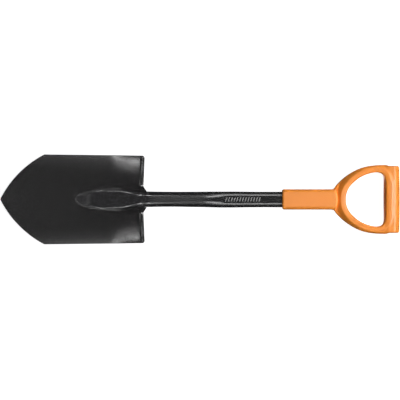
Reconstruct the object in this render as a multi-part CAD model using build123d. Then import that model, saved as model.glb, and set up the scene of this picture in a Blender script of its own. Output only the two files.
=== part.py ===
from build123d import *

import math
import os

# Compact round point shovel. Sizes are in millimetres.
# Frame: the shovel lies on its back with the shaft level. +X runs along the shaft from the
# blade to the grip, +Z comes out of the blade's hollow face, and the origin is on the shaft's
# axis at the tread.

# Blade, seen in plan
TIP_X = -289.5
SHOULDER_X = -200.5
SHOULDER_Y = 90.6
TREAD_Y = 88.5
POINT_ARC_RADIUS = 202.0
POINT_ROUNDING = 3.0
SHEET = 2.0

# Blade, shape of the face
FACE_Z = -8.0
LIFT_DEGREES = 3.5
LENGTHWISE_RADIUS = 1500.0
DISH_DEPTH = 18.0
DISH_HALF_WIDTH = 91.0
TREAD_DISH_GAIN = 0.5

# Rolled tread
ROLL_RADIUS = 4.6
ROLL_INNER_Y = 28.6
ROLL_INNER_REAR_X = -1.0
ROLL_SETBACK = 2.6
ROLL_TURN = 262.0
RELIEF_NOTCH = 1.2
LIP_X = 5.0

# Shaft
TUBE_RADIUS = 15.5
TUBE_WALL = 1.5
ROUND_START_X = 8.0
ROUND_END_X = 118.0
FLAT_START_X = 194.0
SHAFT_END_X = 375.0
FLAT_WIDTH = 31.8
FLAT_DEPTH = 24.0
FLAT_CORNER = 7.5
TONGUE_X = -46.0
TONGUE_LENGTH = 90.0
TONGUE_HALF_WIDTH = 20.3
TONGUE_SQUASHED = 2.25
TUBE_GAP = 0.4

# Welds
TONGUE_BEAD = 2.6
HEEL_BEAD = 2.2

# Handle
SLEEVE_START_X = 278.5
SLEEVE_END_X = 392.0
SLEEVE_WIDTH = 41.2
SLEEVE_DEPTH = 34.0
SLEEVE_CORNER = 9.0
SOCKET_END_X = 377.6
SOCKET_GAP = 0.15
YOKE_DEPTH = 26.0
YOKE_OUTER_ROUNDING = 8.0
YOKE_INNER_ROUNDING = 5.0
BAR_X = 499.5
BAR_THICKNESS = 32.0
BAR_DEPTH = 30.0
BAR_LENGTH = 135.4
CORE_RADIUS = 8.0
PLUG_HEAD_RADIUS = 10.0
SCREW_X = 340.0


def smoothstep(value, low, high):
    t = min(max((value - low) / (high - low), 0.0), 1.0)
    return t * t * (3 - 2 * t)


def soft_minimum(a, b, width):
    h = max(width - abs(a - b), 0.0) / width
    return min(a, b) - h * h * width / 4


def across(x, z=0.0):
    """A plane square to the shaft, with its own x along +Y and its own y along +Z."""
    return Plane(origin=(x, 0, z), x_dir=(0, 1, 0), z_dir=(1, 0, 0))


def upright(x, z=0.0):
    """The same, but with its own x along -Z, so that a curve's seam comes at the bottom."""
    return Plane(origin=(x, 0, z), x_dir=(0, 0, -1), z_dir=(1, 0, 0))


# ---------------------------------------------------------------- shape of the blade's face


def centre_line(x):
    """Height of the face's middle, before the channel for the shaft."""
    u = -x
    lift = math.tan(math.radians(LIFT_DEGREES))
    return FACE_Z + u * abs(u) / (2 * LENGTHWISE_RADIUS) + u * lift


def tube_bottom(x):
    """Height of the shaft's underside: the round tube's, then the blade's own face."""
    t = smoothstep(-x, -4, 92)
    return -TUBE_RADIUS * (1 - t) + centre_line(x) * t


def tube_half_height(x):
    t = smoothstep(-x, -14, 120)
    return TUBE_RADIUS * (1 - t) + TONGUE_SQUASHED * t


def squashed_half_width(x):
    """Half width of the squashed tube before its end is drawn in to a nose."""
    return TUBE_RADIUS + (TONGUE_HALF_WIDTH - TUBE_RADIUS) * smoothstep(-x, -8, -TONGUE_X)


def tube_half_width(x):
    t = max(TONGUE_X - x, 0.0) / TONGUE_LENGTH
    return squashed_half_width(x) * math.sqrt(1 - t * t)


def face_height(x, y):
    """Height of the blade's hollow face."""
    w = abs(y) / DISH_HALF_WIDTH
    gain = 1 + TREAD_DISH_GAIN * smoothstep(x, -70, 0)
    dish = centre_line(x) + DISH_DEPTH * gain * (0.55 * w**2 + 0.45 * w**4)
    past_nose = max(TONGUE_X - TONGUE_LENGTH - 1 - x, 0.0)
    floor = tube_bottom(x) - TUBE_GAP + 0.4 * past_nose
    radius = squashed_half_width(x) ** 2 / tube_half_height(x)
    channel = floor + y * y / (2 * radius)
    return soft_minimum(dish, channel, 5 - 4 * smoothstep(-x, 0, 100))


def rear_edge(y):
    """X of the tread's rear edge; the outer ends stand further back than the inner ones."""
    t = (abs(y) - ROLL_INNER_Y) / (TREAD_Y - ROLL_INNER_Y)
    return ROLL_INNER_REAR_X + ROLL_SETBACK * t


# ---------------------------------------------------------------- blade


def half_point_arc():
    """The curved edge from the tip to one shoulder."""
    tip = Vector(TIP_X, 0)
    shoulder = Vector(SHOULDER_X, SHOULDER_Y)
    chord = shoulder - tip
    half = chord.length / 2
    sagitta = POINT_ARC_RADIUS - math.sqrt(POINT_ARC_RADIUS**2 - half**2)
    outward = Vector(-chord.Y, chord.X).normalized()
    middle = (tip + shoulder) * 0.5 + outward * sagitta
    return ThreePointArc(tip, middle, shoulder)


def blade_outline():
    """Plan of the pressed sheet, up to where the tread's roll takes over."""
    notch_y = ROLL_INNER_Y - RELIEF_NOTCH
    corner = (rear_edge(TREAD_Y) - ROLL_RADIUS, TREAD_Y)
    root = (rear_edge(notch_y) - ROLL_RADIUS, notch_y)
    flare_start = (ROLL_INNER_REAR_X - 0.6, notch_y)
    lip_corner = (LIP_X, 17.5)
    flare = Spline(flare_start, lip_corner, tangents=[(0.25, -1), (1, -0.25)])
    half = Curve() + [
        half_point_arc(),
        Line((SHOULDER_X, SHOULDER_Y), corner),
        Line(corner, root),
        Line(root, flare_start),
        flare,
        Line(lip_corner, (LIP_X, 0)),
    ]
    face = make_face(half + mirror(half, about=Plane.XZ))
    rounded = [v for v in face.vertices() if v.X < TIP_X + 1 or abs(v.X - SHOULDER_X) < 1]
    return fillet(rounded, POINT_ROUNDING)


def make_roll(side):
    """One half of the rolled tread: a C section carried along the blade's rear edge."""
    inner_radius = ROLL_RADIUS - SHEET - 0.1
    outer_radius = ROLL_RADIUS + 0.1
    along = Vector(ROLL_SETBACK, TREAD_Y - ROLL_INNER_Y).normalized()
    points = []
    for i in range(13):
        y = ROLL_INNER_Y + (TREAD_Y + 0.6 - ROLL_INNER_Y) * i / 12
        x = rear_edge(y) - ROLL_RADIUS
        step = along * 0.05
        rise = face_height(x + step.X, y + step.Y) - face_height(x - step.X, y - step.Y)
        slope = rise / 0.1
        normal = (Vector(0, 0, 1) - along * slope).normalized()
        points.append(Vector(x, y, face_height(x, y)) + normal * (ROLL_RADIUS - SHEET))
    path = Spline(points)
    rearwards = Vector(along.Y, -along.X, 0)
    plane = Plane(origin=points[0], x_dir=rearwards, z_dir=path % 0 * -1)
    first = PolarLine((0, 0), outer_radius, -90)
    last = PolarLine((0, 0), outer_radius, ROLL_TURN - 90)
    ends = [Line(line @ (inner_radius / outer_radius), line @ 1) for line in (first, last)]
    arcs = [CenterArc((0, 0), radius, -90, ROLL_TURN) for radius in (inner_radius, outer_radius)]
    roll = sweep(plane * make_face(Curve() + arcs + ends), path)
    if side < 0:
        roll = mirror(roll, about=Plane.XZ)
    return roll


def make_blade():
    xs = [TIP_X - 6 + (LIP_X + 4 - TIP_X + 6) * i / 74 for i in range(75)]
    ys = [-96 + 192 * j / 96 for j in range(97)]
    rows = [[Vector(x, y, face_height(x, y)) for y in ys] for x in xs]
    face = Face.make_surface_from_array_of_points(rows, tol=0.03, min_deg=3, max_deg=3)
    sheet = Solid.extrude(face, Vector(0, 0, -SHEET))
    prism = Pos(0, 0, -40) * extrude(blade_outline(), 140)
    blade = Part() + (prism & sheet)
    return blade + make_roll(1) + make_roll(-1)


# ---------------------------------------------------------------- shaft


def pressed_section(x, grow=0.0, roundness=0.0):
    """The flat-sided section as eight edges; roundness 1 gives the round tube instead."""
    half_width = FLAT_WIDTH / 2 + grow
    half_depth = FLAT_DEPTH / 2 + grow
    corner = FLAT_CORNER + grow
    radius = TUBE_RADIUS + grow
    flat = []
    for sign_y, sign_z in ((1, 1), (-1, 1), (-1, -1), (1, -1)):
        centre_y = sign_y * (half_width - corner)
        centre_z = sign_z * (half_depth - corner)
        wide = (sign_y * half_width, centre_z)
        tall = (centre_y, sign_z * half_depth)
        slant = corner * math.sqrt(0.5)
        middle = (centre_y + sign_y * slant, centre_z + sign_z * slant)
        flat.append((wide, middle, tall) if sign_y * sign_z > 0 else (tall, middle, wide))
    round_angles = (18, 39, 60)
    tube = []
    for turn, flip in ((0, False), (180, True), (180, False), (360, True)):
        angles = [turn - a if flip else turn + a for a in round_angles]
        if flip:
            angles.reverse()
        tube.append(
            tuple(
                (radius * math.cos(math.radians(a)), radius * math.sin(math.radians(a)))
                for a in angles
            )
        )
    edges = []
    for i in range(4):
        here = tube[i] if roundness else flat[i]
        after = tube[(i + 1) % 4] if roundness else flat[(i + 1) % 4]
        edges.append(ThreePointArc(*here))
        if roundness:
            span = [math.atan2(p[1], p[0]) for p in (here[2], after[0])]
            if span[1] < span[0]:
                span[1] += 2 * math.pi
            mid = (span[0] + span[1]) / 2
            edges.append(
                ThreePointArc(here[2], (radius * math.cos(mid), radius * math.sin(mid)), after[0])
            )
        else:
            edges.append(Line(here[2], after[0]))
    return across(x) * make_face(Curve() + edges)


def tube_body(grow, front_x):
    """The shaft's shape from front_x to its upper end; grow is minus the wall for the bore."""
    stations = [ROUND_START_X, 0, -10, -22, -34, -46, -58, -70, -82, -94]
    stations += [-105, -115, -123, -129, -133, -135.4]
    ellipses = [upright(stations[0]) * Circle(TUBE_RADIUS + grow)]
    for x in stations[1:]:
        if x < front_x:
            break
        z = tube_bottom(x) + tube_half_height(x)
        width = tube_half_width(x) + grow
        height = tube_half_height(x) + grow
        ellipses.append(upright(x, z) * Ellipse(height, width))
    squashed = loft(ellipses)
    round_length = ROUND_END_X - stations[0]
    straight = extrude(across(stations[0]) * Circle(TUBE_RADIUS + grow), round_length)
    round_end = pressed_section(ROUND_END_X, grow, roundness=1)
    flat_start = pressed_section(FLAT_START_X, grow)
    pressed = loft([round_end, flat_start])
    upper = extrude(pressed_section(FLAT_START_X, grow), SHAFT_END_X - FLAT_START_X)
    return squashed + straight + pressed + upper


def make_shaft():
    shaft = tube_body(0, -200) - tube_body(-TUBE_WALL, -96)
    screw_hole = Pos(SCREW_X, 0, -FLAT_DEPTH / 2) * Cylinder(2.05, 8)
    return shaft - screw_hole


# ---------------------------------------------------------------- welds


def make_tongue_weld(blade, shaft):
    points = []
    for i in range(25):
        angle = math.radians(90 + 180 * i / 24)
        x = TONGUE_X + (TONGUE_LENGTH + 0.8) * math.cos(angle)
        y = (TONGUE_HALF_WIDTH + 0.8) * math.sin(angle)
        points.append(Vector(x, y, face_height(x, y) + 1.0))
    path = Spline(points)
    section = Plane(origin=path @ 0, z_dir=path % 0) * Circle(TONGUE_BEAD)
    return sweep(section, path) - shaft - blade


def make_heel_weld(blade, shaft):
    arc = CenterArc((0, 0), TUBE_RADIUS + 0.6, 202, 136)
    path = across(LIP_X + 0.7) * arc
    section = Plane(origin=path @ 0, z_dir=path % 0) * Circle(HEEL_BEAD)
    bead = sweep(section, path) - shaft - blade
    return bead.solids().sort_by(SortBy.VOLUME)[-1]


# ---------------------------------------------------------------- handle


def d_outline():
    """Plan of the grip's D, from the sleeve round to the bar."""
    curve = Spline(
        (380.0, 18.4),
        (392.5, 33.6),
        (413.0, 51.4),
        (436.9, 63.2),
        (457.1, 67.9),
        (478.0, 69.7),
        (494.0, 67.8),
    )
    half = Curve() + [
        Line((380.0, 0), (380.0, 18.4)),
        curve,
        Line((494.0, 67.8), (506.0, 64.8)),
        Line((506.0, 64.8), (506.0, 0)),
    ]
    return make_face(half + mirror(half, about=Plane.XZ))


def hand_hole():
    """Plan of the opening; it runs on under the bar, which closes it off."""
    left = [
        (489.5, 22.0),
        (487.0, 41.0),
        (481.6, 50.2),
        (475.4, 53.6),
        (467.0, 54.4),
        (457.1, 52.7),
        (445.0, 48.6),
        (434.9, 43.4),
        (424.8, 35.6),
        (417.1, 27.9),
        (411.4, 18.0),
    ]
    right = [(x, -y) for x, y in reversed(left)]
    return make_face(Spline(left + [(408.3, 0)] + right, periodic=True))


def make_handle():
    sleeve = extrude(
        across(SLEEVE_START_X) * RectangleRounded(SLEEVE_WIDTH, SLEEVE_DEPTH, SLEEVE_CORNER),
        SLEEVE_END_X - SLEEVE_START_X,
    )
    sleeve = fillet(sleeve.faces().sort_by(Axis.X)[0].edges(), 3.5)
    yoke = extrude(d_outline(), YOKE_DEPTH / 2, both=True)
    rims = [e for e in yoke.edges() if abs(abs(e.center().Z) - YOKE_DEPTH / 2) < 0.01]
    yoke = fillet([e for e in rims if e.length > 131], YOKE_OUTER_ROUNDING)
    yoke = yoke - extrude(hand_hole(), YOKE_DEPTH, both=True)
    rims = [e for e in yoke.edges() if abs(abs(e.center().Z) - YOKE_DEPTH / 2) < 0.01]
    inner = [e for e in rims if e.bounding_box().min.X > 403 and e.center().X < 489.5]
    yoke = fillet(inner, YOKE_INNER_ROUNDING)
    bar_plane = Plane(origin=(BAR_X, -BAR_LENGTH / 2, 0), x_dir=(1, 0, 0), z_dir=(0, 1, 0))
    bar = extrude(bar_plane * RectangleRounded(BAR_THICKNESS, BAR_DEPTH, 12.5), BAR_LENGTH)
    bar = fillet(bar.faces().sort_by(Axis.Y)[0].edges(), 2.5)
    bar = fillet(bar.faces().sort_by(Axis.Y)[-1].edges(), 2.5)
    handle = sleeve + yoke + bar
    socket = extrude(
        pressed_section(SLEEVE_START_X - 1, SOCKET_GAP), SOCKET_END_X - SLEEVE_START_X + 1
    )
    core = Pos(BAR_X, 0, 0) * Rot(90, 0, 0) * Cylinder(CORE_RADIUS, BAR_LENGTH + 2)
    handle = handle - socket - core
    for side in (1, -1):
        seat = Pos(BAR_X, side * BAR_LENGTH / 2, 0) * Rot(90, 0, 0)
        handle = handle - seat * Cylinder(PLUG_HEAD_RADIUS, 6)
    back = -SLEEVE_DEPTH / 2
    handle = handle - Pos(SCREW_X, 0, back) * Cylinder(5.5, 6)
    return handle - Pos(SCREW_X, 0, back) * Cylinder(2.3, 20)


def make_grip_plug(side):
    """A flush round plug in one end of the bar."""
    head_depth = 2.8
    head = extrude(Circle(PLUG_HEAD_RADIUS - 0.1), head_depth)
    spigot = Pos(0, 0, head_depth) * extrude(Circle(CORE_RADIUS - 0.1), 9)
    hollow = Pos(0, 0, head_depth) * extrude(Circle(CORE_RADIUS - 1.8), 10)
    plug = head + spigot - hollow
    seat = Pos(BAR_X, side * (BAR_LENGTH / 2 - 0.1), 0) * Rot(90 * side, 0, 0)
    return seat * plug


def make_shaft_plug():
    """A plug in the tube's upper end with a rim that covers the cut edge."""
    rim = extrude(pressed_section(SHAFT_END_X + 0.1, -0.1), 1.8)
    body = extrude(pressed_section(SHAFT_END_X - 14, -TUBE_WALL - 0.1), 14.1)
    hollow = extrude(pressed_section(SHAFT_END_X - 15, -TUBE_WALL - 2.1), 13)
    return rim + body - hollow


def make_handle_screw():
    """A pan-head self-tapping screw, put in from the back."""
    head_z = -SLEEVE_DEPTH / 2 + 0.4
    head = Pos(SCREW_X, 0, head_z + 1.3) * Cylinder(4.5, 2.5)
    head = fillet(head.edges().sort_by(Axis.Z)[0], 1.2)
    shank = Pos(SCREW_X, 0, head_z + 8.5) * Cylinder(1.95, 12.5)
    shank = chamfer(shank.edges().sort_by(Axis.Z)[-1], 1.2)
    slot_plan = Rectangle(5.0, 1.1) + Rectangle(1.1, 5.0)
    recess = Pos(SCREW_X, 0, head_z) * extrude(slot_plan, 1.7)
    return head + shank - recess


# ---------------------------------------------------------------- pieces

blade = make_blade()
shaft = make_shaft()
parts = {
    "blade": blade,
    "shaft": shaft,
    "tongue_weld": make_tongue_weld(blade, shaft),
    "heel_weld": make_heel_weld(blade, shaft),
    "handle": make_handle(),
    "grip_end_plug_left": make_grip_plug(1),
    "grip_end_plug_right": make_grip_plug(-1),
    "shaft_plug": make_shaft_plug(),
    "handle_screw": make_handle_screw(),
}

os.makedirs("parts", exist_ok=True)
for name, shape in parts.items():
    print(name, len(shape.solids()), round(shape.volume), shape.bounding_box())
    export_step(shape, f"parts/{name}.step")
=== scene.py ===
import math

import bpy
import numpy as np
from mathutils import Matrix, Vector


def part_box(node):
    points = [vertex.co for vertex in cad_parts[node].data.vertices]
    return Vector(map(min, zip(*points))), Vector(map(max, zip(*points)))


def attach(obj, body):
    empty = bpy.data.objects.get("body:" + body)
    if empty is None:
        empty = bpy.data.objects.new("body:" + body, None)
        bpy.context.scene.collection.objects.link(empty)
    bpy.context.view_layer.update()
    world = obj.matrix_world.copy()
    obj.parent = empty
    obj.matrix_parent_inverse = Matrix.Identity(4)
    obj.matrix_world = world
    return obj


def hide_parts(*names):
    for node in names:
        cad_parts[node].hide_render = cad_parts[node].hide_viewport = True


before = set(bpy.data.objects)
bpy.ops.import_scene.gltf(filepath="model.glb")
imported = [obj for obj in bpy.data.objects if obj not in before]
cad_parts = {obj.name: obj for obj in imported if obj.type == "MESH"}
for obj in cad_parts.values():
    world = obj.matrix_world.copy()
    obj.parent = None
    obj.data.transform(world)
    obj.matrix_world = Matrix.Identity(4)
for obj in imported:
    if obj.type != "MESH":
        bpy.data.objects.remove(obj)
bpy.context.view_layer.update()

MM = 0.001
SCENE = bpy.context.scene

# Sizes in millimetres, on the CAD's axes: +X from blade to grip, +Z out of the blade's face.
# The driving sizes are the CAD's, apart from TIP_ROUNDING, ROLL_FLATTENING, FLAT_CORNER, SLEEVE_CORNER,
# SLEEVE_END_X and BAR_HALF_WIDTH. The tongue's ridge and wings, the tube's swells and the D's depth
# are this model's own too.

# Blade outline
TIP_X = -289.5
SHOULDER_X = -200.5
SHOULDER_Y = 90.6
TREAD_Y = 88.5
POINT_ARC_RADIUS = 202.0
TIP_ROUNDING = 1.0

# Blade sheet: where it lies, how it bends along its length, and how its sides rise
SHEET = 2.0
FACE_Z = -8.0
LIFT_DEGREES = 3.5
LENGTHWISE_RADIUS = 1500.0
DISH_DEPTH = 18.0
DISH_HALF_WIDTH = 91.0
DISH_STEEP_SHARE = 0.45
TREAD_DISH_GAIN = 0.5
TREAD_DISH_START_X = -70.0

# Rolled treads and the lip between them
ROLL_RADIUS = 4.6
ROLL_TURN_DEGREES = 262.0
ROLL_FLATTENING = 0.6
ROLL_INNER_Y = 28.6
ROLL_INNER_REAR_X = -1.0
ROLL_SETBACK = 2.6
ROLL_END_ROUNDING = 3.2
ROLL_END_CLOSING = 0.96
ROLL_END_FLARE = 1.2
RELIEF_NOTCH = 1.2
LIP_X = 5.0
LIP_Y = 17.5
LIP_START_GAP = 0.3
LIP_POWER = 1.15

# Steel tube: round near the blade, and flat-sided from FLAT_START_X into the handle
TUBE_RADIUS = 15.5
TUBE_WALL = 1.5
TUBE_GAP = 0.4
ROUND_END_X = 118.0
FLAT_START_X = 194.0
SHAFT_END_X = 375.0
FLAT_WIDTH = 31.8
FLAT_DEPTH = 24.0
FLAT_CORNER = 11.0

# Degrees round the tube between which the flat-sided section's corner lies
CORNER_FROM = 18
CORNER_TO = 60

# The tube's squashed end on the blade. The ridge's table holds X and half width; the swells' table
# holds X and how far the bare tube's sides stand out there.
TONGUE_X = -46.0
TONGUE_LENGTH = 90.0
TONGUE_NOSE_X = TONGUE_X - TONGUE_LENGTH
TONGUE_HALF_WIDTH = 20.3
TONGUE_EDGE = 21.2
TONGUE_SQUASHED = 2.25
WING_THICKNESS = 2.4
SINK_FROM_X, SINK_TO_X = 4.0, -92.0
SQUASH_FROM_X, SQUASH_TO_X = 14.0, -120.0
RIDGE_HALF_WIDTHS = (
    (-136, 3.5),
    (-128, 6.8),
    (-118, 10.6),
    (-108, 13.3),
    (-98, 15.3),
    (-86, 17.0),
    (-74, 18.2),
    (-60, 19.0),
    (-46, 19.2),
    (-36, 18.0),
    (-20, 16.2),
    (10, 15.5),
)
TUBE_SWELLS = (
    (8, 0.55),
    (20, 0.25),
    (40, 0.0),
    (60, -0.15),
    (90, -0.1),
    (118, 0.15),
    (135, 0.55),
    (155, 0.8),
    (175, 0.65),
    (195, 0.35),
    (215, 0.1),
    (240, 0.0),
)

# Channel pressed in the blade for the tongue
CHANNEL_STEEP_X = -22.0
CHANNEL_TUBE_HALF_WIDTH = 0.9 * TUBE_RADIUS
CHANNEL_RUNOUT = 0.4

# Handle
SLEEVE_START_X = 278.5
SLEEVE_END_X = 389.6
SLEEVE_WIDTH = 41.2
SLEEVE_DEPTH = 34.0
SLEEVE_CORNER = 7.0
SOCKET_END_X = 377.6
SOCKET_PLAY = 0.15
BAR_X = 499.5
BAR_LENGTH = 135.4
BAR_HALF_WIDTH = 16.4
BAR_HALF_DEPTH = 15.0
BAR_CORNER = 13.6
BAR_SHIFT = 0.1
CORE_RADIUS = 8.0
PLUG_SEAT_RADIUS = 10.0
PLUG_SEAT_DEPTH = 3.0
SCREW_X = 340.0
SCREW_BORE_RADIUS = 2.3
SCREW_HEAD_RADIUS = 5.5
SCREW_HEAD_DEPTH = 3.0

# The D between sleeve and bar: it is thickest along a crest that runs round the hand hole
CREST_FROM_HOLE = 10.6
CREST_HALF_DEPTH = 15.0
INNER_SLOPE = 0.13
OUTER_SLOPE = 0.85
EDGE_HALF_DEPTH = 6.5

# Printed row of strokes
MARK_START_X = 166.0
MARK_STROKES = 13
MARK_PITCH = 5.6
MARK_HALF_LENGTH = 4.0
MARK_HALF_STROKE = 0.8
MARK_SLANT = 0.3
MARK_RISE = 0.05
MARK_SINK = 0.3


# ---------------------------------------------------------------- shapes as functions


def smoothstep(value, low, high):
    """0 at low and 1 at high, with level ends; low may be the larger of the two."""
    t = np.clip((value - low) / (high - low), 0.0, 1.0)
    return t * t * (3 - 2 * t)


def soft_min(a, b, width):
    """The smaller of two, with the corner between them rounded over width."""
    h = np.maximum(width - np.abs(a - b), 0.0) / width
    return np.minimum(a, b) - h * h * width / 4


def soft_max(a, b, width):
    """The larger of two, rounded in the same way."""
    return -soft_min(-a, -b, width)


def centre_line(x):
    """Height of the blade's face along its middle, before the channel is pressed."""
    u = -x
    return FACE_Z + u * np.abs(u) / (2 * LENGTHWISE_RADIUS) + u * math.tan(math.radians(LIFT_DEGREES))


def tube_bottom(x):
    """Height of the tube's underside as it comes down to the blade."""
    t = smoothstep(x, SINK_FROM_X, SINK_TO_X)
    return -TUBE_RADIUS * (1 - t) + centre_line(x) * t


def tube_half_height(x):
    t = smoothstep(x, SQUASH_FROM_X, SQUASH_TO_X)
    return TUBE_RADIUS * (1 - t) + TONGUE_SQUASHED * t


def face_height(x, y):
    """Height of the blade's hollow face, with the channel for the tongue."""
    w = np.abs(y) / DISH_HALF_WIDTH
    gain = 1 + TREAD_DISH_GAIN * smoothstep(x, TREAD_DISH_START_X, 0)
    rise = (1 - DISH_STEEP_SHARE) * w**2 + DISH_STEEP_SHARE * w**4
    dish = centre_line(x) + DISH_DEPTH * gain * rise
    past_nose = np.maximum(TONGUE_NOSE_X - 1 - x, 0.0)
    floor = tube_bottom(x) - TUBE_GAP + CHANNEL_RUNOUT * past_nose
    under_tube = smoothstep(x, TONGUE_X, CHANNEL_STEEP_X)
    half_width = TONGUE_HALF_WIDTH * (1 - under_tube) + CHANNEL_TUBE_HALF_WIDTH * under_tube
    power = 2 + 3 * under_tube
    channel = floor + tube_half_height(x) / 2 * (np.abs(y) / half_width) ** power
    wide_blend, narrow_blend = 4.5, 1.0
    blend = wide_blend - (wide_blend - narrow_blend) * smoothstep(x, 0, -100)
    return soft_min(dish, channel, blend)


def face_normals(x, y):
    step = 0.2
    slope_x = (face_height(x + step, y) - face_height(x - step, y)) / (2 * step)
    slope_y = (face_height(x, y + step) - face_height(x, y - step)) / (2 * step)
    normals = np.stack([-slope_x, -slope_y, np.ones_like(slope_x)], -1)
    return normals / np.linalg.norm(normals, axis=-1, keepdims=True)


def rear_edge(y):
    """X of the treads' rear edge, which slants towards the grip at the sides."""
    t = (np.abs(y) - ROLL_INNER_Y) / (TREAD_Y - ROLL_INNER_Y)
    return ROLL_INNER_REAR_X + ROLL_SETBACK * t


def front_edge(y):
    """X of the blade's pointed front edge."""
    chord = np.array([SHOULDER_X - TIP_X, SHOULDER_Y])
    half = np.hypot(*chord) / 2
    inward = np.array([chord[1], -chord[0]]) / (2 * half)
    middle = np.array([TIP_X, 0.0]) + chord / 2
    centre = middle + inward * math.sqrt(POINT_ARC_RADIUS**2 - half**2)
    rounded = np.sqrt(y * y + TIP_ROUNDING**2)
    return centre[0] - np.sqrt(POINT_ARC_RADIUS**2 - (rounded - centre[1]) ** 2)


def spline(points, count):
    """A natural cubic spline through 2-D points, sampled evenly in chord length."""
    points = np.array(points, float)
    chord = np.linalg.norm(np.diff(points, axis=0), axis=1)
    t = np.concatenate([[0], np.cumsum(chord)])
    n = len(t)
    system = np.eye(n)
    right = np.zeros((n, points.shape[1]))
    for i in range(1, n - 1):
        system[i, i - 1 : i + 2] = chord[i - 1], 2 * (chord[i - 1] + chord[i]), chord[i]
        right[i] = 6 * (
            (points[i + 1] - points[i]) / chord[i] - (points[i] - points[i - 1]) / chord[i - 1]
        )
    bend = np.linalg.solve(system, right)
    s = np.linspace(0, t[-1], count)
    i = np.clip(np.searchsorted(t, s, side="right") - 1, 0, n - 2)
    h = chord[i][:, None]
    a = ((t[i + 1] - s) / chord[i])[:, None]
    b = 1 - a
    return (
        a * points[i]
        + b * points[i + 1]
        + ((a**3 - a) * bend[i] + (b**3 - b) * bend[i + 1]) * h * h / 6
    )


# ---------------------------------------------------------------- mesh building


def make_piece(name, points, faces, material, smooth=True):
    """A mesh object from points in millimetres and a list of faces or an array of quads."""
    mesh = bpy.data.meshes.new(name)
    points = np.asarray(points, float) * MM
    if isinstance(faces, np.ndarray):
        count, size = faces.shape
        mesh.vertices.add(len(points))
        mesh.vertices.foreach_set("co", points.astype(np.float32).ravel())
        mesh.loops.add(count * size)
        mesh.loops.foreach_set("vertex_index", faces.astype(np.int32).ravel())
        mesh.polygons.add(count)
        mesh.polygons.foreach_set("loop_start", np.arange(0, count * size, size, dtype=np.int32))
        mesh.update(calc_edges=True)
    else:
        mesh.from_pydata(points.tolist(), [], faces)
    mesh.validate()
    mesh.polygons.foreach_set("use_smooth", [smooth] * len(mesh.polygons))
    mesh.materials.append(material)
    piece = bpy.data.objects.new(name, mesh)
    SCENE.collection.objects.link(piece)
    return piece


def grid_quads(rows, columns, wrap=False):
    """Quads of a rows x columns grid of points; wrap joins the last column to the first."""
    i = np.arange(rows - 1)[:, None]
    j = np.arange(columns if wrap else columns - 1)[None, :]
    k = (j + 1) % columns
    a, b = i * columns + j, i * columns + k
    c, d = (i + 1) * columns + k, (i + 1) * columns + j
    quads = np.stack([np.broadcast_to(q, a.shape) for q in (a, b, c, d)], -1)
    return quads.reshape(-1, 4)


def strip_quads(numbers):
    """Quads over a table of point numbers."""
    a, b = numbers[:-1, :-1].ravel(), numbers[:-1, 1:].ravel()
    c, d = numbers[1:, 1:].ravel(), numbers[1:, :-1].ravel()
    return np.stack([a, b, c, d], -1)


def loft(name, rings, material):
    """A skin over rings of points, with flat n-gon ends."""
    rings = np.asarray(rings, float)
    count, around = rings.shape[:2]
    faces = [tuple(q) for q in grid_quads(count, around, wrap=True).tolist()]
    faces.append(tuple(reversed(range(around))))
    faces.append(tuple(range((count - 1) * around, count * around)))
    return make_piece(name, rings.reshape(-1, 3), faces, material)


def lathe(name, profile, origin, axis, material, around=72):
    """A turned piece: profile is (radius, height) pairs, height measured along axis."""
    angles = np.linspace(0, 2 * math.pi, around, endpoint=False)
    axis = np.array(axis, float)
    side = np.cross(axis, [1.0, 0.0, 0.0])
    side /= np.linalg.norm(side)
    other = np.cross(axis, side)
    outward = np.cos(angles)[:, None] * side + np.sin(angles)[:, None] * other
    rings = [np.array(origin) + height * axis + radius * outward for radius, height in profile]
    return loft(name, rings, material)


def add_modifier(piece, kind, **settings):
    modifier = piece.modifiers.new(kind.lower(), kind)
    for key, value in settings.items():
        setattr(modifier, key, value)


def surface_net(field, low, high, cell):
    """Points and quads of the surface where field is zero."""
    axes = [np.arange(lo, hi + cell, cell) for lo, hi in zip(low, high)]
    nx, ny, nz = (len(a) for a in axes)
    values = np.empty((nx, ny, nz))
    gy, gz = np.meshgrid(axes[1], axes[2], indexing="ij")
    for i, x in enumerate(axes[0]):
        slab = np.stack([np.full(gy.size, x), gy.ravel(), gz.ravel()], -1)
        values[i] = field(slab).reshape(ny, nz)
    inside = values < 0
    cells = (nx - 1, ny - 1, nz - 1)
    total = np.zeros(cells + (3,))
    hits = np.zeros(cells)
    crossings = []
    for axis in range(3):
        low_cut = [slice(None)] * 3
        high_cut = [slice(None)] * 3
        low_cut[axis], high_cut[axis] = slice(0, -1), slice(1, None)
        a, b = values[tuple(low_cut)], values[tuple(high_cut)]
        crossed = inside[tuple(low_cut)] != inside[tuple(high_cut)]
        index = np.argwhere(crossed)
        share = a[crossed] / (a[crossed] - b[crossed])
        point = index.astype(float)
        point[:, axis] += share
        others = [k for k in range(3) if k != axis]
        corner_cells = []
        for du, dv in ((0, 0), (-1, 0), (-1, -1), (0, -1)):
            cell_index = index.copy()
            cell_index[:, others[0]] += du
            cell_index[:, others[1]] += dv
            corner_cells.append(cell_index)
            np.add.at(total, tuple(cell_index.T), point)
            np.add.at(hits, tuple(cell_index.T), 1)
        flip = inside[tuple(low_cut)][crossed]
        if axis == 1:
            flip = ~flip
        crossings.append((corner_cells, flip))
    used = hits > 0
    number = np.full(cells, -1)
    number[used] = np.arange(used.sum())
    points = total[used] / hits[used][:, None] * cell + np.array(low)
    quads = []
    for corner_cells, flip in crossings:
        quad = np.stack([number[tuple(c.T)] for c in corner_cells], -1)
        quad[~flip] = quad[~flip][:, ::-1]
        quads.append(quad)
    return points, np.concatenate(quads)


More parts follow.
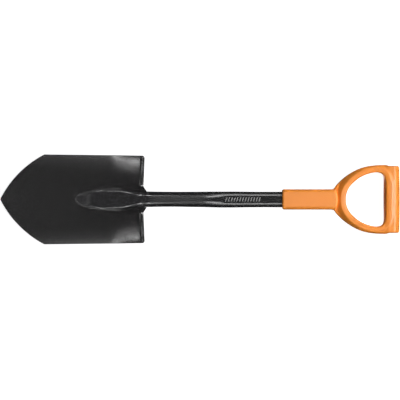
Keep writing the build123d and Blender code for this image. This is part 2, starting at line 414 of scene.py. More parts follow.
def gradient(field, points):
    """Slope of the field at each point, by small steps either way."""
    step = 0.04
    parts = []
    for axis in range(3):
        offset = np.zeros(3)
        offset[axis] = step
        parts.append((field(points + offset) - field(points - offset)) / (2 * step))
    return np.stack(parts, -1)


def settle(field, points, quads):
    """Evens the spacing of the net's points and moves each one onto the surface."""
    even_rounds, landing_rounds = 3, 2
    even_share, largest_move, smallest_slope = 0.6, 0.6, 0.05
    edges = np.concatenate([quads[:, [k, (k + 1) % 4]] for k in range(4)])
    count = np.bincount(edges.ravel(), minlength=len(points))[:, None]
    for turn in range(even_rounds + landing_rounds):
        slope = gradient(field, points)
        size = np.maximum((slope**2).sum(-1, keepdims=True), smallest_slope)
        if turn < even_rounds:
            mean = np.zeros_like(points)
            np.add.at(mean, edges[:, 0], points[edges[:, 1]])
            np.add.at(mean, edges[:, 1], points[edges[:, 0]])
            shift = mean / count - points
            shift -= slope * (shift * slope).sum(-1, keepdims=True) / size
            points = points + even_share * shift
            slope = gradient(field, points)
            size = np.maximum((slope**2).sum(-1, keepdims=True), smallest_slope)
        move = -slope * field(points)[:, None] / size
        points = points + np.clip(move, -largest_move, largest_move)
    return points


# ---------------------------------------------------------------- materials


def new_material(name, color, roughness, **inputs):
    material = bpy.data.materials.new(name)
    material.use_nodes = True
    shader = material.node_tree.nodes["Principled BSDF"]
    shader.inputs["Base Color"].default_value = (*color, 1)
    shader.inputs["Roughness"].default_value = roughness
    for key, value in inputs.items():
        shader.inputs[key].default_value = value
    return material


def node(material, kind, **inputs):
    made = material.node_tree.nodes.new(kind)
    for key, value in inputs.items():
        made.inputs[key].default_value = value
    return made


def textured(name, color, roughness, grain, bump, drift, drift_scale, **inputs):
    """A material with fine relief and a roughness that drifts slowly from place to place."""
    material = new_material(name, color, roughness, **inputs)
    tree = material.node_tree
    shader = tree.nodes["Principled BSDF"]
    place = node(material, "ShaderNodeTexCoord")
    fine = node(material, "ShaderNodeTexNoise", Scale=grain, Detail=2.0)
    relief = node(material, "ShaderNodeBump", Strength=bump, Distance=0.2 * MM)
    slow = node(material, "ShaderNodeTexNoise", Scale=drift_scale, Detail=3.0)
    spread = node(material, "ShaderNodeMapRange")
    spread.inputs["To Min"].default_value = roughness - drift
    spread.inputs["To Max"].default_value = roughness + drift
    tree.links.new(place.outputs["Object"], fine.inputs["Vector"])
    tree.links.new(place.outputs["Object"], slow.inputs["Vector"])
    tree.links.new(fine.outputs["Fac"], relief.inputs["Height"])
    tree.links.new(relief.outputs["Normal"], shader.inputs["Normal"])
    tree.links.new(slow.outputs["Fac"], spread.inputs["Value"])
    tree.links.new(spread.outputs["Result"], shader.inputs["Roughness"])
    return material


PAINT_IOR = 1.8
BLADE_BLACK = (0.0145, 0.0142, 0.0143)
SHAFT_BLACK = (0.026, 0.026, 0.027)
WELD_BLACK = (0.02, 0.02, 0.02)
blade_paint = textured(
    "blade_powder_coat", BLADE_BLACK, 0.25, grain=900, bump=0.08, drift=0.02, drift_scale=14, IOR=PAINT_IOR
)
shaft_paint = textured(
    "shaft_powder_coat", SHAFT_BLACK, 0.17, grain=900, bump=0.05, drift=0.01, drift_scale=14, IOR=PAINT_IOR
)
weld_paint = textured(
    "weld_under_paint", WELD_BLACK, 0.22, grain=600, bump=0.3, drift=0.04, drift_scale=90, IOR=PAINT_IOR
)
orange = textured(
    "moulded_orange", (0.95, 0.298, 0.038), 0.38, grain=1300, bump=0.2, drift=0.02, drift_scale=20
)
plug_orange = textured(
    "plug_orange", (0.74, 0.18, 0.018), 0.45, grain=1300, bump=0.25, drift=0.03, drift_scale=20
)
zinc = textured(
    "zinc_plate", (0.62, 0.62, 0.63), 0.34, grain=500, bump=0.15, drift=0.05, drift_scale=200, Metallic=1.0
)
black_plastic = new_material("black_plastic", (0.02, 0.02, 0.02), 0.5)
print_white = new_material("printed_mark", (0.78, 0.78, 0.78), 0.5)


# ---------------------------------------------------------------- blade


def sheet_grid(y_rear):
    """The sheet's middle layer from treads to point, with the face's normals."""
    x_rear = rear_edge(y_rear) - ROLL_RADIUS
    y_front = y_rear * SHOULDER_Y / TREAD_Y
    x_front = front_edge(y_front)
    t = np.linspace(0, 1, num=130)[:, None]
    x = x_rear + (x_front - x_rear) * t
    y = y_rear + (y_front - y_rear) * t
    # The sheet's back ends up further out than its face, so the face is taken that much further in.
    lean = face_normals(x, y) * SHEET
    x, y = x + lean[..., 0] * t, y + lean[..., 1]
    normals = face_normals(x, y)
    middle = np.stack([x, y, face_height(x, y)], -1) - normals * SHEET / 2
    return middle, normals, y[0]


def lip_strip(y_rear, y_leaned):
    """The lip at the tube's mouth: its columns of the sheet, and the points behind them."""
    notch_y = ROLL_INNER_Y - RELIEF_NOTCH
    columns = np.flatnonzero(np.abs(y_rear) < ROLL_INNER_Y - RELIEF_NOTCH / 2)
    x_start = rear_edge(y_rear[columns]) - ROLL_RADIUS
    reach = np.clip((notch_y - np.abs(y_rear[columns])) / (notch_y - LIP_Y), 0, 1)
    x_side = ROLL_INNER_REAR_X - LIP_START_GAP
    x_end = x_side + (LIP_X - x_side) * reach**LIP_POWER
    steps = np.linspace(0, 1, num=9)[1:, None]
    x = x_start + (x_end - x_start) * steps
    y = np.broadcast_to(y_leaned[columns], x.shape)
    points = np.stack([x, y, face_height(x, y)], -1) - face_normals(x, y) * SHEET / 2
    return columns, points


def tread_roll(side, y_rear, edge, edge_normals):
    """A tread: its columns of the sheet, and the points of the edge curled over to the front."""
    columns = np.flatnonzero(side * y_rear > ROLL_INNER_Y - RELIEF_NOTCH / 2)
    base, up = edge[columns], edge_normals[columns]
    rearwards = np.cross(np.gradient(base, axis=0), up)
    rearwards /= np.linalg.norm(rearwards, axis=1, keepdims=True)
    rearwards *= np.sign(rearwards[:, :1])
    turn = np.radians(np.linspace(0, ROLL_TURN_DEGREES, num=34))[1:, None]
    radius = ROLL_RADIUS - SHEET / 2
    back = radius * np.sin(turn)
    rise = radius * ROLL_FLATTENING * (1 - np.cos(turn))
    curl = base + back[..., None] * rearwards + rise[..., None] * up
    to_end = np.abs(y_rear[columns]) - TREAD_Y + ROLL_END_ROUNDING
    to_end = np.clip(to_end / ROLL_END_ROUNDING, 0, 1)
    pull = ROLL_END_ROUNDING * (1 - np.sqrt(1 - ROLL_END_CLOSING * to_end**2))
    curl[..., 0] -= pull * np.sin(turn)
    curl[..., 1] += side * ROLL_END_FLARE * to_end * (1 - np.cos(turn)) / 2
    return columns, curl


def make_blade():
    """The pressed sheet as one layer of points, thickened and given rounded edges."""
    inner = np.linspace(0, ROLL_INNER_Y - RELIEF_NOTCH, num=25)
    outer = np.linspace(ROLL_INNER_Y, TREAD_Y, num=37)
    half = np.concatenate([inner, outer])
    y_rear = np.concatenate([-half[:0:-1], half])
    sheet, normals, y_leaned = sheet_grid(y_rear)
    points = [sheet.reshape(-1, 3)]
    quads = [grid_quads(*sheet.shape[:2])[:, ::-1]]
    strips = [lip_strip(y_rear, y_leaned)]
    strips += [tread_roll(side, y_rear, sheet[0], normals[0]) for side in (-1, 1)]
    total = len(points[0])
    for columns, strip in strips:
        count = strip.size // 3
        added = total + np.arange(count).reshape(strip.shape[:2])
        points.append(strip.reshape(-1, 3))
        quads.append(strip_quads(np.concatenate([[columns], added])))
        total += count
    piece = make_piece("blade_sheet", np.concatenate(points), np.concatenate(quads), blade_paint)
    add_modifier(
        piece, "SOLIDIFY", thickness=SHEET * MM, offset=0.0, use_even_offset=True, use_quality_normals=True
    )
    add_modifier(
        piece, "BEVEL", width=0.5 * MM, segments=3, limit_method="ANGLE", angle_limit=math.radians(42)
    )
    add_modifier(piece, "WEIGHTED_NORMAL", keep_sharp=True)
    return piece


# ---------------------------------------------------------------- shaft


def section_angles():
    """Angles round the tube, closest together on the corners of its flat-sided section."""
    first_corner = np.linspace(CORNER_FROM, CORNER_TO, num=25)[:-1]
    top = np.linspace(CORNER_TO, 180 - CORNER_TO, num=29)[:-1]
    second_corner = np.linspace(180 - CORNER_TO, 180 - CORNER_FROM, num=25)[:-1]
    side = np.linspace(180 - CORNER_FROM, 180 + CORNER_FROM, num=17)[:-1]
    half = np.concatenate([first_corner, top, second_corner, side])
    return np.radians(np.concatenate([half, half + 180]))


def pressed_ring(x, grow=0.0):
    """The flat-sided section, point for point with the angles above."""
    half_width, half_depth = FLAT_WIDTH / 2 + grow, FLAT_DEPTH / 2 + grow
    corner = FLAT_CORNER + grow
    straight_y, straight_z = half_width - corner, half_depth - corner
    ring = []
    for degrees in np.degrees(section_angles()):
        signed = (degrees + 180) % 360 - 180
        side_y = 1 if abs(signed) < 90 else -1
        side_z = 1 if signed > 0 else -1
        angle = abs(signed) if abs(signed) <= 90 else 180 - abs(signed)
        if angle < CORNER_FROM:
            y, z = half_width, straight_z * angle / CORNER_FROM
        elif angle <= CORNER_TO:
            bend = math.radians((angle - CORNER_FROM) / (CORNER_TO - CORNER_FROM) * 90)
            y, z = straight_y + corner * math.cos(bend), straight_z + corner * math.sin(bend)
        else:
            y, z = straight_y * (90 - angle) / (90 - CORNER_TO), half_depth
        ring.append((x, side_y * y, side_z * z))
    return np.array(ring)


def tube_swell(x):
    """How far the bare tube's sides stand out from its nominal width."""
    stations, swells = zip(*TUBE_SWELLS)
    return float(np.interp(x, stations, swells))


def shaft_ring(x):
    angles = section_angles()
    if x < ROUND_END_X:
        return tongue_ring(x, angles)
    station = np.full_like(angles, x)
    round_ring = np.stack([station, TUBE_RADIUS * np.cos(angles), TUBE_RADIUS * np.sin(angles)], -1)
    t = smoothstep(x, ROUND_END_X, FLAT_START_X)
    ring = round_ring * (1 - t) + pressed_ring(x) * t
    ring[:, 1] *= 1 + tube_swell(x) / TUBE_RADIUS
    return ring


def tongue_half_width(x):
    """Half width of the squashed end's outline, which ends in a blunt nose."""
    u = np.clip((TONGUE_X - x) / TONGUE_LENGTH, 0.0, 1.0)
    nose_bluntness = 0.25
    squashed = TONGUE_EDGE * np.sqrt(1 - u * u) * (1 + nose_bluntness * smoothstep(u, 0.8, 1.0))
    neck = TUBE_RADIUS + (TONGUE_EDGE - TUBE_RADIUS) * (1 - smoothstep(x, TONGUE_X, -20))
    return np.where(x < TONGUE_X, squashed, neck)


def tongue_top(x, y):
    """Height of the squashed end: the tube running out as a flat-topped ridge between two wings."""
    side_fall, nose_drop, blend = 14, 3.2, 3.0
    ridge_width = np.interp(x, *zip(*RIDGE_HALF_WIDTHS))
    half_height = tube_half_height(x)
    centre = tube_bottom(x) + half_height
    power = 2 + 1.8 * smoothstep(x, 4, -40)
    q = np.abs(y) / ridge_width
    crown = half_height * np.clip(1 - q**power, 0, 1) ** (1 / power)
    ridge = centre + crown - side_fall * np.maximum(q - 1, 0)
    ridge = ridge - nose_drop * smoothstep(x, -122, -137)
    wing = face_height(x, y) + WING_THICKNESS * smoothstep(x, -24, -44)
    return soft_max(ridge, wing, blend * smoothstep(x, 8, -30) + 0.01)


def tongue_ring(x, angles):
    """A section between the round tube and the nose; its underside settles onto the channel."""
    half_width = float(tongue_half_width(x)) + tube_swell(x) * smoothstep(x, -30, 8)
    half_height = tube_half_height(x)
    centre = tube_bottom(x) + half_height
    y = half_width * np.cos(angles)
    station = np.full_like(y, x)
    round_z = centre + half_height * np.sin(angles)
    squashed = smoothstep(x, 8, -24)
    paint_gap = 0.05
    top = round_z * (1 - squashed) + tongue_top(station, y) * squashed
    under = round_z * (1 - squashed) + (face_height(station, y) + paint_gap) * squashed
    upper = smoothstep(np.sin(angles), -0.2, 0.2)
    return np.stack([station, y, under * (1 - upper) + top * upper], -1)


def make_shaft():
    """The tube from nose to open end, with a short stretch of its bore."""
    bend = np.radians(np.linspace(3, 90, num=60))
    tongue = TONGUE_X - TONGUE_LENGTH * np.cos(bend)
    stations = np.concatenate(
        [
            tongue[:-1],
            np.arange(TONGUE_X, 12, 1.5),
            np.linspace(14, ROUND_END_X, num=40),
            np.linspace(ROUND_END_X, FLAT_START_X, num=30)[1:],
            np.linspace(FLAT_START_X, SHAFT_END_X, num=20)[1:],
        ]
    )
    rings = [shaft_ring(x) for x in stations]
    tip = rings[0].copy()
    tip[:, 0] = TONGUE_NOSE_X + 0.15
    tip[:, 1:] = (tip[:, 1:] - tip[:, 1:].mean(0)) * 0.5 + tip[:, 1:].mean(0)
    end_and_bore = (
        (SHAFT_END_X + 0.3, -0.4),
        (SHAFT_END_X + 0.3, -TUBE_WALL + 0.3),
        (SHAFT_END_X - 0.4, -TUBE_WALL),
        (SHAFT_END_X - 18, -TUBE_WALL),
    )
    rings = [tip, *rings, *(pressed_ring(x, grow) for x, grow in end_and_bore)]
    return loft("shaft_tube", rings, shaft_paint)


# ---------------------------------------------------------------- welds


def bead(name, path, radius, flatten):
    """A rippled bead of weld metal along a path of points."""
    spacing, around = 0.45, 20
    ripple_pitch, ripple_height, ripple_lag = 3.6, 0.13, 1.5
    path = np.asarray(path, float)
    lengths = np.concatenate([[0], np.cumsum(np.linalg.norm(np.diff(path, axis=0), axis=1))])
    steps = int(lengths[-1] / spacing)
    s = np.linspace(0, lengths[-1], steps)
    line = np.stack([np.interp(s, lengths, path[:, k]) for k in range(3)], -1)
    line[1:-1] = (line[:-2] + 2 * line[1:-1] + line[2:]) / 4
    along = np.gradient(line, axis=0)
    along /= np.linalg.norm(along, axis=1, keepdims=True)
    up = np.array([0, 0, 1.0]) - along * along[:, 2:]
    up /= np.linalg.norm(up, axis=1, keepdims=True)
    side = np.cross(along, up)
    angles = np.linspace(0, 2 * math.pi, around, endpoint=False)
    to_end = np.clip(np.minimum(s, lengths[-1] - s) / (1.1 * radius), 0, 1)
    cap = np.sqrt(np.clip(1 - (1 - to_end) ** 2, 0.02, 1))
    wander = 0.09 * np.sin(s * 0.37 + 1.0) + 0.06 * np.sin(s * 0.83 + 2.4)
    rings = []
    for i in range(steps):
        phase = s[i] + ripple_lag * (1 - np.sin(angles)) * 0.5 + 1.1 * wander[i]
        wave = (phase / ripple_pitch) % 1.0
        ripple = ripple_height * (wave**1.6) * (1 - smoothstep(wave, 0.86, 1.0)) / 0.6
        r = radius * cap[i] * (0.94 + ripple + wander[i] * 0.5)
        across = (r * np.cos(angles))[:, None] * side[i]
        upwards = (flatten * r * np.sin(angles))[:, None] * up[i]
        rings.append(line[i] + across + upwards)
    return loft(name, rings, weld_paint)


def make_tongue_weld():
    """The bead along the tongue's rim, from one side round the nose to the other."""
    outset, lift = 0.7, 0.9
    bend = np.sin(np.radians(np.linspace(0, 90, num=90)))
    x = TONGUE_X - TONGUE_LENGTH * bend
    y = tongue_half_width(x)
    x, y = np.concatenate([x, x[-2::-1]]), np.concatenate([y, -y[-2::-1]])
    x = TONGUE_X + (x - TONGUE_X) * (1 + outset / TONGUE_LENGTH)
    y = y * (1 + outset / TONGUE_EDGE)
    z = face_height(x, y) + lift
    return bead("tongue_weld_bead", np.stack([x, y, z], -1), radius=2.3, flatten=0.85)


def make_heel_weld():
    """The bead under the tube, along the mouth of the channel."""
    angle = np.radians(np.linspace(204, 336, num=61))
    ring = TUBE_RADIUS + 0.5
    path = np.stack([np.full_like(angle, LIP_X + 0.7), ring * np.cos(angle), ring * np.sin(angle)], -1)
    return bead("heel_weld_bead", path, radius=2.1, flatten=1.0)


# ---------------------------------------------------------------- handle


def polygon_distance(points, polygon):
    """Distance from 2-D points to a closed polygon, negative inside."""
    best = np.full(len(points), 1e9)
    inside = np.zeros(len(points), bool)
    for a, b in zip(polygon, np.roll(polygon, -1, axis=0)):
        edge = b - a
        rel = points - a
        share = np.clip((rel @ edge) / (edge @ edge), 0, 1)
        gap = rel - share[:, None] * edge
        best = np.minimum(best, (gap**2).sum(1))
        crosses = (points[:, 1] >= a[1]) != (points[:, 1] >= b[1])
        with np.errstate(divide="ignore", invalid="ignore"):
            where = a[0] + (points[:, 1] - a[1]) / (b[1] - a[1]) * edge[0]
        inside ^= crosses & (points[:, 0] < where)
    return np.where(inside, -1, 1) * np.sqrt(best)


class DistanceMap:
    """A polygon's distance on a grid, read back smoothly."""

    def __init__(self, polygon, low, high, step):
        self.low, self.step = np.array(low, float), step
        nx, ny = (int((h - l) / step) + 4 for l, h in zip(low, high))
        gx, gy = np.meshgrid(
            low[0] + step * (np.arange(nx) - 1), low[1] + step * (np.arange(ny) - 1), indexing="ij"
        )
        points = np.stack([gx.ravel(), gy.ravel()], -1)
        self.table = polygon_distance(points, polygon).reshape(nx, ny)

    def __call__(self, x, y):
        u = (x - self.low[0]) / self.step + 1
        v = (y - self.low[1]) / self.step + 1
        i = np.clip(np.floor(u).astype(int), 1, self.table.shape[0] - 3)
        j = np.clip(np.floor(v).astype(int), 1, self.table.shape[1] - 3)
        wu, wv = self.weights(u - i), self.weights(v - j)
        total = 0.0
        for a in range(4):
            for b in range(4):
                total = total + wu[a] * wv[b] * self.table[i + a - 1, j + b - 1]
        return total

    @staticmethod
    def weights(t):
        """Cubic B-spline weights, which smooth the grid a little."""
        return (
            (1 - t) ** 3 / 6,
            (3 * t**3 - 6 * t**2 + 4) / 6,
            (-3 * t**3 + 3 * t**2 + 3 * t + 1) / 6,
            t**3 / 6,
        )


def rounded_box(u, v, half_u, half_v, corner):
    """Distance to a rounded rectangle, negative inside."""
    qu, qv = np.abs(u) - (half_u - corner), np.abs(v) - (half_v - corner)
    outside = np.hypot(np.maximum(qu, 0), np.maximum(qv, 0))
    return outside + np.minimum(np.maximum(qu, qv), 0) - corner


def ring_outside():
    """Outline of the D's outside, as a closed polygon that ends inside sleeve and bar."""
    arm = [
        (382.4, 21.0),
        (387.0, 27.8),
        (392.5, 33.9),
        (402.5, 43.2),
        (413.5, 51.2),
        (425.0, 57.9),
        (436.9, 63.1),
        (447.0, 66.1),
        (458.0, 68.1),
        (473.0, 69.4),
        (483.0, 69.4),
        (489.0, 68.6),
        (494.0, 67.5),
    ]
    in_sleeve = [(366.0, 0.0), (378.0, 16.0)]
    in_bar = [(501.0, 66.5), (506.0, 60.0), (506.0, 0.0)]
    half = np.array([*in_sleeve, *spline(arm, 90), *in_bar])
    return np.concatenate([half, half[-2:0:-1] * (1, -1)])


def ring_hole():
    """Outline of the hand hole; its straight side lies along the bar."""
    half = [
        (407.4, 0.0),
        (410.9, 18.0),
        (417.1, 27.9),
        (424.8, 35.6),
        (434.9, 43.4),
        (445.0, 48.6),
        (457.1, 52.7),
        (467.0, 54.4),
        (475.4, 53.6),
        (481.6, 49.8),
        (487.0, 41.0),
        (489.0, 32.0),
    ]
    return spline([(x, -y) for x, y in half[:0:-1]] + half, 260)


def sleeve_field(x, y, z):
    """The square sleeve round the tube; its end at the D curves towards the blade at the sides."""
    swept_end = SLEEVE_END_X - 4.2 * (y / 20) ** 2
    body = rounded_box(y, z, SLEEVE_WIDTH / 2, SLEEVE_DEPTH / 2, SLEEVE_CORNER)
    body = soft_max(body, SLEEVE_START_X - x, 4.4)
    return soft_max(body, x - swept_end, 2.6)


def ring_field(z, from_edge, from_hole):
    """The D: its faces slope down from the crest, gently inwards and steeply outwards."""
    crest_rounding = 1.4
    level = np.zeros_like(z)
    past_crest = from_hole - CREST_FROM_HOLE
    inwards = soft_max(-past_crest, level, crest_rounding)
    outwards = soft_max(past_crest, level, crest_rounding)
    half_depth = CREST_HALF_DEPTH - INNER_SLOPE * inwards - OUTER_SLOPE * outwards
    half_depth = soft_max(half_depth, level + EDGE_HALF_DEPTH, 2.0)
    ring = soft_max(from_edge, -from_hole, 2.0)
    return soft_max(ring, np.abs(z) - half_depth, 4.4)


def bar_field(x, y, z):
    """The grip bar, a little slimmer towards its ends."""
    slimming = 1.2 * (y / 67) ** 2
    bar = rounded_box(x - BAR_X - BAR_SHIFT, z, BAR_HALF_WIDTH, BAR_HALF_DEPTH, BAR_CORNER) + slimming
    return soft_max(bar, y - BAR_LENGTH / 2, 3.6)


def handle_hollows(x, y, z):
    """The handle's hollows, each with the rounding of its rim."""
    socket = rounded_box(
        y, z, FLAT_WIDTH / 2 + SOCKET_PLAY, FLAT_DEPTH / 2 + SOCKET_PLAY, FLAT_CORNER + SOCKET_PLAY
    )
    socket = np.maximum(socket, x - SOCKET_END_X)
    from_core = np.hypot(x - BAR_X, z)
    plug_seat = np.maximum(from_core - PLUG_SEAT_RADIUS, BAR_LENGTH / 2 - PLUG_SEAT_DEPTH - y)
    from_screw = np.hypot(x - SCREW_X, y)
    screw_seat = np.maximum(from_screw - SCREW_HEAD_RADIUS, z + SLEEVE_DEPTH / 2 - SCREW_HEAD_DEPTH)
    return (socket, 0.8), (from_core - CORE_RADIUS, 0.6), (plug_seat, 0.7), (screw_seat, 0.7)


def make_handle_field():
    """The whole moulding as a function that is negative inside it."""
    map_low, map_high, map_step = (360, -4), (520, 80), 0.6
    outside_map = DistanceMap(ring_outside(), map_low, map_high, map_step)
    hole_map = DistanceMap(ring_hole(), map_low, map_high, map_step)

    def field(p):
        x, y, z = p[:, 0], np.abs(p[:, 1]), p[:, 2]
        on_map = np.clip(x, 362, 518), np.clip(y, 0, 78)
        ring = ring_field(z, outside_map(*on_map), hole_map(*on_map))
        body = soft_min(ring, bar_field(x, y, z), 5.0)
        body = soft_min(body, sleeve_field(x, y, z), 4.0)
        for hollow, rounding in handle_hollows(x, y, z):
            body = soft_max(body, -hollow, rounding)
        screw_bore = np.maximum(np.hypot(x - SCREW_X, y) - SCREW_BORE_RADIUS, z)
        return np.maximum(body, -screw_bore)

    return field


def make_handle():
    field = make_handle_field()
    points, quads = surface_net(field, low=(276.0, -72.0, -18.5), high=(516.5, 72.0, 18.5), cell=1.0)
    points = settle(field, points, quads)
    piece = make_piece("handle_grip", points, quads, orange)
    normals = gradient(field, points)
    normals /= np.maximum(np.linalg.norm(normals, axis=1, keepdims=True), 1e-6)
    piece.data.normals_split_custom_set_from_vertices(normals.tolist())
    return piece


def make_grip_plug(name, side):
    """The cap that closes the bar's core hole, with its hollow skirt inside the bar."""
    cap_radius, skirt_radius, skirt_bore, skirt_end = 9.85, 7.9, 6.2, 11.4
    cap = [
        (0.3, -0.25),
        (5.0, -0.2),
        (8.4, 0.0),
        (9.2, 0.1),
        (9.7, 0.35),
        (cap_radius, 0.8),
        (cap_radius, 2.7),
    ]
    skirt = [
        (skirt_radius, 2.75),
        (skirt_radius, skirt_end - 0.4),
        (skirt_radius - 0.3, skirt_end),
        (skirt_bore + 0.4, skirt_end),
        (skirt_bore, skirt_end - 0.4),
        (skirt_bore, 3.2),
        (0.3, 3.2),
    ]
    face = side * (BAR_LENGTH / 2 - 0.15)
    return lathe(name, cap + skirt, (BAR_X, face, 0), (0, -side, 0), plug_orange)


# ---------------------------------------------------------------- printed mark


def shaft_top(x, y):
    """Height of the shaft's front at one station."""
    ring = shaft_ring(x)
    upper = ring[ring[:, 2] > 0]
    order = np.argsort(upper[:, 1])
    return np.interp(y, upper[order, 1], upper[order, 2])


def make_mark():
    """A plain printed row of slanted strokes on the shaft's front."""
    across = np.linspace(-MARK_HALF_LENGTH, MARK_HALF_LENGTH, num=9)
    points, faces = [], []
    for k in range(MARK_STROKES):
        first = len(points)
        last = first + 4 * (len(across) - 1)
        for y in across:
            middle = MARK_START_X + MARK_PITCH * k + MARK_SLANT * y
            for x in (middle - MARK_HALF_STROKE, middle + MARK_HALF_STROKE):
                z = float(shaft_top(x, y))
                points += [(x, y, z + MARK_RISE), (x, y, z - MARK_SINK)]
        for a in range(first, last, 4):
            faces += [(a, a + 2, a + 6, a + 4), (a + 1, a + 5, a + 7, a + 3)]
            faces += [(a, a + 4, a + 5, a + 1), (a + 2, a + 3, a + 7, a + 6)]
        faces += [(first, first + 1, first + 3, first + 2), (last, last + 2, last + 3, last + 1)]
    return make_piece("shaft_print", points, faces, print_white, smooth=False)


# ---------------------------------------------------------------- put together

made = [
    (make_blade(), "blade", "blade_coating"),
    (make_shaft(), "shaft", "shaft_coating"),
    (make_tongue_weld(), "tongue_weld", "weld_coating"),
    (make_heel_weld(), "heel_weld", "weld_coating"),
    (make_handle(), "handle", "handle_plastic"),
    (make_grip_plug("grip_plug_left", 1), "grip_end_plug_left", "plug_plastic"),
    (make_grip_plug("grip_plug_right", -1), "grip_end_plug_right", "plug_plastic"),
    (make_mark(), None, "shaft_coating"),
]
for piece, cad_node, slot in made:
    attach(piece, "root")
    if cad_node:
        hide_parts(cad_node)

for name, material in (("shaft_plug", black_plastic), ("handle_screw", zinc)):
    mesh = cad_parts[name].data
    mesh.materials.clear()
    mesh.materials.append(material)


# ---------------------------------------------------------------- stage, lights and camera


def make_floor():
    """A white glowing floor. It is clear from below, casts no shadow and is not seen in reflections."""
    floor_z = min(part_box("blade")[0].z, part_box("heel_weld")[0].z) / MM - 0.1
    half = 4000.0
    corners = [(-half, -half, floor_z), (half, -half, floor_z), (half, half, floor_z), (-half, half, floor_z)]
    material = new_material("floor", (0.86, 0.86, 0.86), 0.9)
    tree = material.node_tree
    shader = tree.nodes["Principled BSDF"]
    glow = node(material, "ShaderNodeEmission", Strength=0.98, Color=(1, 1, 1, 1))
    clear = node(material, "ShaderNodeBsdfTransparent")
    add = node(material, "ShaderNodeAddShader")
    mix = node(material, "ShaderNodeMixShader")
    geometry = node(material, "ShaderNodeNewGeometry")
    tree.links.new(shader.outputs[0], add.inputs[0])
    tree.links.new(glow.outputs[0], add.inputs[1])
    tree.links.new(geometry.outputs["Backfacing"], mix.inputs["Fac"])
    tree.links.new(add.outputs[0], mix.inputs[1])
    tree.links.new(clear.outputs[0], mix.inputs[2])
    tree.links.new(mix.outputs[0], tree.nodes["Material Output"].inputs["Surface"])
    floor = make_piece("floor", corners, [(0, 1, 2, 3)], material)
    floor.visible_glossy = False
    floor.visible_diffuse = False
    floor.visible_shadow = False


def make_world():
    """White behind everything for the camera; it gives no light of its own."""
    world = bpy.data.worlds.new("studio")
    SCENE.world = world
    world.use_nodes = True
    tree = world.node_tree
    background = tree.nodes["Background"]
    background.inputs["Color"].default_value = (1, 1, 1, 1)
    path = tree.nodes.new("ShaderNodeLightPath")
    tree.links.new(path.outputs["Is Camera Ray"], background.inputs["Strength"])


def add_light(name, place, aim, size, power, group=None):
    """A soft rectangular light on a group of pieces, or on all of them."""
    light = bpy.data.lights.new(name, "AREA")
    light.shape = "RECTANGLE"
    light.size, light.size_y = size
    light.energy = power
    lamp = bpy.data.objects.new(name, light)
    SCENE.collection.objects.link(lamp)
    lamp.location = place
    direction = np.array(aim, float) - np.array(place, float)
    direction /= np.linalg.norm(direction)
    right = np.array([1.0, 0, 0]) - direction * direction[0]
    right /= np.linalg.norm(right)
    up = np.cross(right, direction)
    matrix = np.eye(4)
    matrix[:3, 0], matrix[:3, 1], matrix[:3, 2], matrix[:3, 3] = right, up, -direction, place
    lamp.matrix_world = Matrix(matrix.tolist())
    lamp.visible_camera = False
    lamp.light_linking.receiver_collection = group


def receivers(name, *pieces):
    """A group of pieces that a light shines on, leaving the others alone."""
    group = bpy.data.collections.new(name)
    for piece in pieces:
        group.objects.link(bpy.data.objects[piece])
    return group


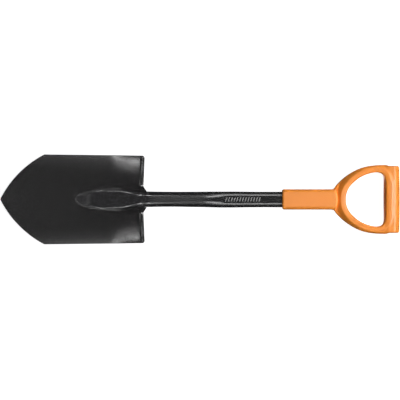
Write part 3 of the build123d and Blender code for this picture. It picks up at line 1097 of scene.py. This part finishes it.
def make_lights():
    """Softboxes: name, place, aim and size in metres, power in watts."""
    everything = (
        ("key_beyond_grip", (1.35, 0.0, 1.25), (0.1, 0, 0), (0.3, 0.8), 11.0),
        ("grip_left", (1.1, 1.3, 1.0), (0, 0, 0), (0.5, 0.5), 3.6),
        ("grip_right", (1.1, -1.3, 1.0), (0, 0, 0), (0.5, 0.5), 4.0),
    )
    on_metal = (
        ("beyond_point_low", (-1.5, 0, 0.7), (0, 0, 0), (0.5, 0.5), 4.0),
        ("beyond_point_high", (-0.95, 0, 1.3), (-0.1, 0, 0), (0.4, 0.2), 4.0),
        ("tongue_right", (-0.09, -1.5, 1.0), (-0.09, 0, 0), (0.08, 0.5), 2.1),
        ("tongue_left", (-0.09, 1.5, 1.0), (-0.09, 0, 0), (0.08, 0.5), 1.7),
    )
    on_blade = (
        ("corner_right", (-0.06, -1.5, 1.0), (-0.06, 0, 0), (0.08, 0.45), 1.6),
        ("corner_left", (-0.06, 1.5, 1.0), (-0.06, 0, 0), (0.08, 0.45), 0.8),
        ("tread_left", (-0.075, 0.95, 1.2), (-0.075, 0, 0), (0.09, 0.45), 0.5),
        ("tread_right", (-0.075, -0.95, 1.2), (-0.075, 0, 0), (0.09, 0.45), 0.6),
        ("edge_left", (0.205, 1.5, 1.0), (0.205, 0, 0), (0.15, 0.5), 0.3),
        ("roll_left", (-0.42, 0.95, 1.2), (-0.42, 0, 0), (0.3, 0.45), 1.6),
        ("roll_right", (-0.42, -0.95, 1.2), (-0.42, 0, 0), (0.3, 0.45), 1.5),
    )
    on_shaft = (
        ("shaft_sheet", (0.06, 0, 1.3), (0.06, 0, 0), (0.14, 1.6), 0.3),
        ("shaft_line_left", (0.255, 0.95, 1.2), (0.255, 0, 0), (0.11, 0.45), 1.2),
        ("shaft_line_right", (0.255, -0.95, 1.2), (0.255, 0, 0), (0.11, 0.45), 1.1),
        ("shaft_line_low_left", (0.23, 1.5, 1.0), (0.23, 0, 0), (0.11, 0.5), 0.3),
        ("shaft_line_low_right", (0.23, -1.5, 1.0), (0.23, 0, 0), (0.11, 0.5), 0.4),
    )
    on_handle = (("sleeve_sheet", (0.335, 0, 1.4), (0.335, 0, 0), (0.1, 0.5), 2.2),)
    from_below = (
        ("under_blade", (-0.4, -0.5, -1.3), (0.1, 0, 0), (1.0, 1.0), 9.0),
        ("under_grip", (0.6, 0.5, -1.3), (0.1, 0, 0), (1.0, 1.0), 9.0),
    )
    metal = receivers("metal", "blade_sheet", "shaft_tube", "tongue_weld_bead", "heel_weld_bead")
    blade = receivers("blade_lights", "blade_sheet", "tongue_weld_bead")
    shaft = receivers("shaft_lights", "shaft_tube")
    handle = receivers("handle_lights", "handle_grip", "grip_plug_left", "grip_plug_right")
    groups = (
        (everything, None),
        (on_metal, metal),
        (on_blade, blade),
        (on_shaft, shaft),
        (on_handle, handle),
        (from_below, None),
    )
    for softboxes, group in groups:
        for softbox in softboxes:
            add_light(*softbox, group)


def make_camera():
    """A long lens straight above the face, far enough away to show hardly any perspective."""
    picture_width = 0.8072
    middle_x, middle_y = 0.113, -0.0012
    data = bpy.data.cameras.new("camera")
    data.sensor_width = 36.0
    data.lens = 600.0
    data.clip_start, data.clip_end = 1.0, 60.0
    camera = bpy.data.objects.new("camera", data)
    SCENE.collection.objects.link(camera)
    camera.location = (middle_x, middle_y, picture_width * data.lens / data.sensor_width)
    SCENE.camera = camera


make_floor()
make_world()
make_lights()
make_camera()
SCENE.view_settings.view_transform = "Standard"
SCENE.view_settings.look = "None"
